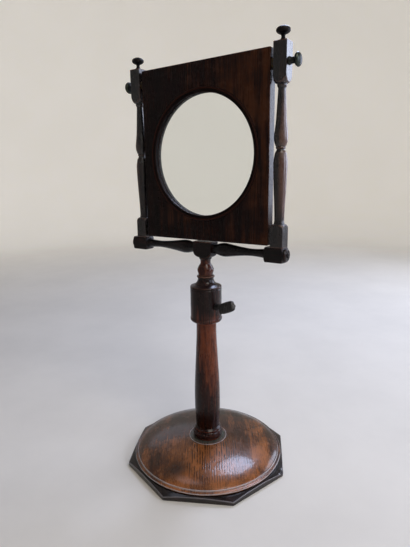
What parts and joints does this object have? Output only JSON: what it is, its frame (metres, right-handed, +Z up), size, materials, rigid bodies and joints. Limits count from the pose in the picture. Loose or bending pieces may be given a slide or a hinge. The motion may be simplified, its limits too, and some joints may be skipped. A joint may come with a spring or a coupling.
{
  "type": "stand magnifier",
  "caption": "Large round lens in a tilting wooden panel, hung between turned posts on a crossbar, with a sliding column, a wing screw and a domed octagonal foot.",
  "frame": {"origin": "middle of the foot on the surface it stands on, on the column's axis", "axes": "+Z up along the column, +X to the right along the crossbar seen from the front, -Y towards the viewer in front of the panel"},
  "size_m": [0.23, 0.2082, 0.498],
  "materials": {
    "panel_mahogany": "old french polish over straight vertical grain",
    "dark_mahogany": "almost black old polish, worn brown on the swells",
    "column_mahogany": "polished red-brown wood, dark streaks",
    "dome_mahogany": "worn orange-brown polish with fine dark flecks",
    "plinth_wood": "dark dull wood with rubbed pale edges",
    "ebonised_wood": "blackened and polished",
    "wing_wood": "black rough wood, chipped pale at the tip",
    "pad_boxwood": "bare boxwood",
    "dark_bronze": "brass with a dark greenish patina",
    "brass": "dull old brass",
    "iron_screws": "dull iron",
    "lens_glass": "clear old crown glass with a faint green tint"
  },
  "bodies": {
    "base": {"plinth": "plinth_wood", "plinth_screws": "iron_screws", "foot_dome": "dome_mahogany", "column": "column_mahogany", "column_screw": "iron_screws", "column_washer": "iron_screws", "collar": "dark_mahogany"},
    "clamp_shoe": {"clamp_pad": "pad_boxwood"},
    "clamp_handle": {"clamp_screw": "wing_wood", "clamp_wing": "wing_wood"},
    "sliding_rod": {"rod": "column_mahogany"},
    "head": {"stem_head": "dark_mahogany", "left_arm": "dark_mahogany", "right_arm": "dark_mahogany", "left_end_button": "ebonised_wood", "right_end_button": "ebonised_wood", "left_post": "dark_mahogany", "right_post": "dark_mahogany", "left_finial": "ebonised_wood", "right_finial": "ebonised_wood", "left_washer": "brass", "right_washer": "brass"},
    "left_pivot": {"left_pivot_screw": "dark_bronze"},
    "right_pivot": {"right_pivot_screw": "dark_bronze"},
    "lens_frame": {"left_bush": "brass", "right_bush": "brass", "lens_panel": "panel_mahogany", "bezel_ring": "ebonised_wood", "lens": "lens_glass", "retaining_ring": "ebonised_wood", "ring_screws": "brass"}
  },
  "joints": [
    {"name": "clamp_press", "type": "slide", "parent": "base", "child": "clamp_shoe", "axis": [0.9282, -0.2962, 0.225], "range_m": [0, 0.003]},
    {"name": "clamp_turn", "type": "hinge", "parent": "clamp_shoe", "child": "clamp_handle", "pos_m": [0, 0, 0.19969], "axis": [0.9282, -0.2962, 0.225], "range_deg": [0, 360]},
    {"name": "height_slide", "type": "slide", "parent": "base", "child": "sliding_rod", "axis": [0, 0, 1], "range_m": [0, 0.085]},
    {"name": "head_swivel", "type": "hinge", "parent": "sliding_rod", "child": "head", "pos_m": [0, 0, 0.2401], "axis": [0, 0, 1], "continuous": true},
    {"name": "lens_tilt", "type": "hinge", "parent": "head", "child": "lens_frame", "pos_m": [0, 0, 0.4654], "axis": [1, 0, 0], "continuous": true},
    {"name": "left_pivot_turn", "type": "hinge", "parent": "head", "child": "left_pivot", "pos_m": [-0.1, 0, 0.4654], "axis": [1, 0, 0], "range_deg": [-180, 0]},
    {"name": "right_pivot_turn", "type": "hinge", "parent": "head", "child": "right_pivot", "pos_m": [0.1, 0, 0.4654], "axis": [1, 0, 0], "range_deg": [0, 180]}
  ],
  "couplings": [
    {"joint": "clamp_turn", "follows": "clamp_press", "rad_per_m": 2094.4}
  ]
}
